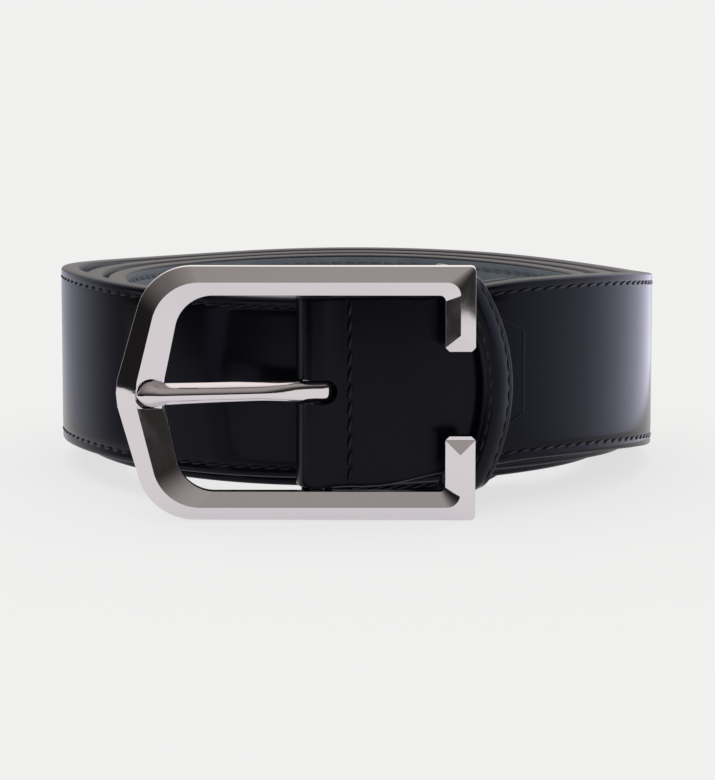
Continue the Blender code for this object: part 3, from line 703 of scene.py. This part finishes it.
def frame_casting():
    """Skins the outer, ridge and inner contours. The ridge stops short of the heel's two ends."""
    outer = frame_contour(FRAME_HEIGHT / 2, HEEL_X, corner=0.9 * MM, point_x=POINT_X, rake=0.285,
                          fillet=10.8 * MM, end_shift=-END_ROUND)
    inner = frame_contour(FRAME_HEIGHT / 2 - RAIL_WIDTH, HEEL_X - HEEL_WIDTH, corner=1.1 * MM,
                          point_x=POINT_X + POINT_WIDTH, rake=0.21, fillet=7.4 * MM, end_shift=END_ROUND)
    ridge = frame_contour((FRAME_HEIGHT - RAIL_WIDTH) / 2, HEEL_X - HEEL_WIDTH / 2, corner=2.6 * MM,
                          point_x=POINT_X + POINT_WIDTH * RIDGE_ACROSS_POINT, rake=0.2475,
                          fillet=9.1 * MM, end_shift=0.0)
    bm = bmesh.new()

    def edge(place):
        return EDGE_DEPTH - LEG_SLIMMING * smoothstep((POINT_X + LEG_SLIM_FROM - place[0]) / LEG_SLIM_RUN)

    def spot(place, depth):
        return bm.verts.new((place[0], FRAME_BACK - depth, MID_HEIGHT + place[1]))

    rings, last = [], len(outer) - 1
    for index in range(last + 1):
        ring = [spot(outer[index], 0), spot(outer[index], edge(outer[index]))]
        if 1 < index < last - 1:
            ring.append(spot(ridge[index], RIDGE_DEPTH))
        rings.append(ring + [spot(inner[index], edge(inner[index])), spot(inner[index], 0)])
    for first, second in ((rings[0], rings[1]), (rings[-1], rings[-2])):
        bm.faces.new(first)
        for side in range(4):
            after = (side + 1) % 4
            bm.faces.new((first[side], first[after], second[after], second[side]))
    for first, second in zip(rings[2:-2], rings[3:-2]):
        for side in range(5):
            after = (side + 1) % 5
            bm.faces.new((first[side], first[after], second[after], second[side]))
    for end, ring in ((rings[1], rings[2]), (rings[-2], rings[-3])):
        bm.faces.new((end[0], end[1], ring[1], ring[0]))
        bm.faces.new((end[1], ring[2], ring[1]))
        bm.faces.new((end[1], end[2], ring[2]))
        bm.faces.new((end[2], ring[3], ring[2]))
        bm.faces.new((end[2], end[3], ring[4], ring[3]))
        bm.faces.new((end[3], end[0], ring[0], ring[4]))
    bmesh.ops.recalc_face_normals(bm, faces=bm.faces[:])
    mesh = bpy.data.meshes.new("frame_casting")
    bm.to_mesh(mesh)
    bm.free()
    return add_piece("frame_casting", mesh, (palladium,))


def box_piece(name, low, high, look):
    bm = bmesh.new()
    bmesh.ops.create_cube(bm, size=1.0, matrix=Matrix.Translation((low + high) / 2)
                          @ Matrix.Diagonal((*(high - low), 1)))
    mesh = bpy.data.meshes.new(name)
    bm.to_mesh(mesh)
    bm.free()
    return add_piece(name, mesh, (look,))


casting = frame_casting()
bar_radius = (bar_high.x - bar_low.x) / 2
lug_reach = bar_radius + LUG_WALL
for side in (1, -1):
    near = MID_HEIGHT + side * (FRAME_HEIGHT / 2 - RAIL_WIDTH + LUG_FROM_RAIL)
    far = MID_HEIGHT + side * ((bar_high.z - bar_low.z) / 2 + LUG_PAST_BAR)
    lug = box_piece("lug", Vector((BAR_PLACE.x - lug_reach, FRAME_BACK - LUG_SUNK, min(near, far))),
                    Vector((BAR_PLACE.x + lug_reach, BAR_PLACE.y + lug_reach, max(near, far))), palladium)
    joined = casting.modifiers.new("lug", "BOOLEAN")
    joined.operation = "UNION"
    joined.object = lug
socket_mesh = bmesh.new()
socket_radius = bar_radius + SOCKET_CLEARANCE
bmesh.ops.create_cone(socket_mesh, cap_ends=True, segments=48, radius1=socket_radius,
                      radius2=socket_radius, depth=bar_high.z - bar_low.z + SOCKET_SPARE,
                      matrix=Matrix.Translation((BAR_PLACE.x, BAR_PLACE.y, MID_HEIGHT)))
socket_data = bpy.data.meshes.new("socket")
socket_mesh.to_mesh(socket_data)
socket_mesh.free()
# The prong's seat has its round end to the left, so its cutter is made mirrored and turned over.
seat_left = prong_low.x - SEAT_CLEARANCE
seat = slot_cutter("prong_seat", -seat_left - 15 * MM, -seat_left, FRAME_BACK - 10 * MM,
                   FRAME_BACK - SEAT_DEPTH, SEAT_HALF)
seat.data.transform(Matrix.Scale(-1, 4, (1, 0, 0)))
seat.data.flip_normals()
lugs = [m.object for m in casting.modifiers]
cut_and_apply(casting, [seat, add_piece("socket", socket_data, (palladium,))])
for lug in lugs:
    bpy.data.objects.remove(lug)
casting.name = "frame_polished"
soften = casting.modifiers.new("soft_edges", "BEVEL")
soften.width = 0.16 * MM
soften.segments = 2
soften.limit_method = "ANGLE"
soften.angle_limit = math.radians(14)
soften.harden_normals = True
casting.data.shade_smooth()
casting.data.set_sharp_from_angle(angle=math.radians(60))
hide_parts("buckle_frame")
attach(casting, "buckle")


# ---------------------------------------------------------------- crossbar and prong
# The crossbar is a plain turned pin in the frame's lugs. The prong is bent from half-round bar:
# a bulb that drops into its seat, a tapering shank, and an open ring round the crossbar.
bar_object = frame["nodes"]["crossbar"]
bar_object.data.materials.clear()
bar_object.data.materials.append(palladium)

PRONG_WIDTH = 4.1 * MM
PRONG_BULB_WIDTH = prong_high.z - prong_low.z
PRONG_THICK = 2.8 * MM
PRONG_RING_THICK = 1.4 * MM
PRONG_RING_TURN = 238
BULB_LENGTH = 5.0 * MM
BULB_ROUND = 2.3 * MM
WAIST = 0.19
ROUND_CROWN = 2.3
FLAT_CROWN = 6.8


def prong_route():
    """Places along the prong's middle: across and depth from the bar, width, thickness and how
    flat its crown is."""
    tip = prong_low.x - BAR_PLACE.x
    tip_y = prong_low.y + PRONG_THICK / 2 - BAR_PLACE.y
    ring = bar_radius + BAR_CLEARANCE + PRONG_RING_THICK / 2
    places = []
    for step in range(17):
        along = BULB_LENGTH * (step / 16) ** 1.6
        rounding = math.sqrt(max(0.0, 1 - (1 - min(1.0, along / BULB_ROUND)) ** 2))
        waist = 1 - WAIST * smoothstep((along - 2.6 * MM) / (2.4 * MM))
        places.append((tip + along, tip_y, PRONG_BULB_WIDTH * max(0.16, rounding) * waist,
                       PRONG_THICK * (0.45 + 0.55 * rounding), ROUND_CROWN))
    for step in range(1, 25):
        share = step / 24.5
        thin = smoothstep((share - 0.62) / 0.36)
        waist_width = PRONG_BULB_WIDTH * (1 - WAIST)
        width = PRONG_WIDTH + (waist_width - PRONG_WIDTH) * (1 - smoothstep(share / 0.3))
        places.append((tip + BULB_LENGTH + (-tip - BULB_LENGTH) * share, tip_y + (-ring - tip_y) * share,
                       width, PRONG_THICK + (PRONG_RING_THICK - PRONG_THICK) * thin,
                       ROUND_CROWN + (FLAT_CROWN - ROUND_CROWN) * thin))
    for step in range(31):
        turn = math.radians(PRONG_RING_TURN) * step / 30
        reach = ring * (1 + 0.1 * math.sin(2 * min(turn, math.pi / 2)) ** 2)
        places.append((reach * math.sin(turn), -reach * math.cos(turn), PRONG_WIDTH, PRONG_RING_THICK,
                       FLAT_CROWN))
    return places


def prong_rings():
    """Half-round sections across the prong: a narrow flat back and a crowned front."""
    places, rings = prong_route(), []
    for index, (x, y, width, thick, crown) in enumerate(places):
        before, after = places[max(0, index - 1)], places[min(len(places) - 1, index + 1)]
        going = Vector((after[0] - before[0], after[1] - before[1], 0)).normalized()
        out = Vector((going.y, -going.x, 0))
        centre = Vector((BAR_PLACE.x + x, BAR_PLACE.y + y, MID_HEIGHT))
        ring = [centre - out * thick * 0.5 + Vector((0, 0, side * width * 0.42)) for side in (1, -1)]
        for step in range(13):
            turn = math.pi * step / 12
            ring.append(centre + out * thick * (0.5 - 0.82 * abs(math.cos(turn)) ** crown)
                        - Vector((0, 0, math.cos(turn) * width / 2)))
        rings.append(ring)
    return rings


prong = loft("prong_polished", prong_rings(), looks=(palladium,), smooth_angle=50)
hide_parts("prong")
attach(prong, "prong")


# ---------------------------------------------------------------- keeper
# A loose loop of the same calf, lined, with a row of stitches near each edge. It is cut in a
# shallow bow, so its middle stands away from the buckle, and its front is full and rounded.
KEEPER_BAND = 6.4 * MM
KEEPER_BOW = 7.5 * MM
KEEPER_RAISE = 1.1 * MM
KEEPER_CORNER = 3.2 * MM
KEEPER_HEADROOM = 1.6 * MM
KEEPER_HALF = STRAP_WIDTH / 2 + TAB_FLARE + KEEPER_HEADROOM
KEEPER_STITCH_PITCH = 2.9 * MM


def keeper_outline(depth, corner):
    """The loop seen along the strap, at a depth outside its opening: radii and heights."""
    outer = COIL_RADIUS + KEEPER_CLEARANCE + depth
    inner = COIL_RADIUS - TAB_THICK - KEEPER_CLEARANCE - depth
    half = KEEPER_HALF + depth
    corner = min(corner, (outer - inner) / 2 - 0.1 * MM)
    points = []
    for quarter, (radius, height) in enumerate(((outer - corner, half - corner),
                                                (inner + corner, half - corner),
                                                (inner + corner, corner - half),
                                                (outer - corner, corner - half))):
        for step in range(9):
            turn = math.pi / 2 * (quarter + step / 8)
            points.append((radius + corner * math.cos(turn), height + corner * math.sin(turn)))
        if quarter in (1, 3):
            edge, sign = points[-1][0], 1 if quarter == 1 else -1
            for share in range(1, 24):
                points.append((edge, sign * (1 - share / 12) * (half - corner)))
    return points


def keeper_point(radius, height, across):
    """A point of the loop, bent round the coil and bowed to the right at its middle."""
    half = KEEPER_HALF + KEEPER_THICK
    height += KEEPER_RAISE
    bow = KEEPER_BOW * (1 - (height / half) ** 2)
    angle = KEEPER_ANGLE + (across + bow - KEEPER_BOW * 0.25) / COIL_RADIUS
    return on_coil(angle, radius, MID_HEIGHT + height) + COIL_AXIS


# Across the band: share of its width and height above the inner surface, as a share of its thickness.
KEEPER_SECTION = [(-1.0, 0.15), (-1.0, 0.55), (-0.93, 0.74), (-0.8, 0.84), (-0.68, 0.86), (-0.56, 0.96),
                  (-0.35, 1.0), (0.0, 0.92), (0.3, 0.76), (0.55, 0.56), (0.7, 0.42), (0.82, 0.38),
                  (0.93, 0.32), (1.0, 0.24), (1.0, 0.1), (0.9, 0.0), (0.0, 0.0), (-0.9, 0.0)]
outlines = {}
rings, spots = [], []
ring_count = len(keeper_outline(0.0, KEEPER_CORNER))
for index in range(ring_count):
    ring, uv_places = [], []
    for across, up in KEEPER_SECTION:
        if up not in outlines:
            outlines[up] = keeper_outline(up * KEEPER_THICK, KEEPER_CORNER - (1 - up) * KEEPER_THICK * 0.5)
        radius, height = outlines[up][index]
        ring.append(keeper_point(radius, height, across * KEEPER_BAND / 2))
        uv_places.append((across * KEEPER_BAND / 2, height))
    rings.append(ring)
    spots.append(uv_places)
keeper_marks = [1, 1] + [0] * 10 + [1, 1] + [2] * 4
keeper = loft("keeper_loop", rings, keeper_marks, closed=True, looks=(calf, edge_paint, nubuck), spots=spots,
              smooth_angle=50)
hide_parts("keeper_face", "keeper_lining")
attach(keeper, "keeper")


def keeper_seats(side, on_face):
    """Seats down the front of the loop, near its left or right edge."""
    radius = COIL_RADIUS + KEEPER_CLEARANCE + (KEEPER_THICK * (0.63 - side * 0.2) if on_face else 0.0)
    across = side * KEEPER_BAND * 0.34
    reach = KEEPER_HALF - 1.0 * MM
    count = round(2 * reach / KEEPER_STITCH_PITCH)
    seats = []
    for index in range(count):
        height = reach * (2 * (index + 0.5) / count - 1)
        low = keeper_point(radius, height - 1 * MM, across)
        high = keeper_point(radius, height + 1 * MM, across)
        middle = keeper_point(radius, height, across)
        out = (middle - COIL_AXIS) * Vector((1, 1, 0))
        seats.append((middle, high - low, out if on_face else -out))
    return seats


for side, near in ((-1, "near"), (1, "far")):
    sew(f"keeper_{near}_stitches", keeper_seats(side, True), 2.5 * MM, 0.6 * MM, "keeper",
        [f"keeper_{near}_needle_thread"])
    sew(f"keeper_{near}_inner_stitches", keeper_seats(side, False), 2.4 * MM, 0.4 * MM, "keeper",
        [f"keeper_{near}_bobbin_thread"])
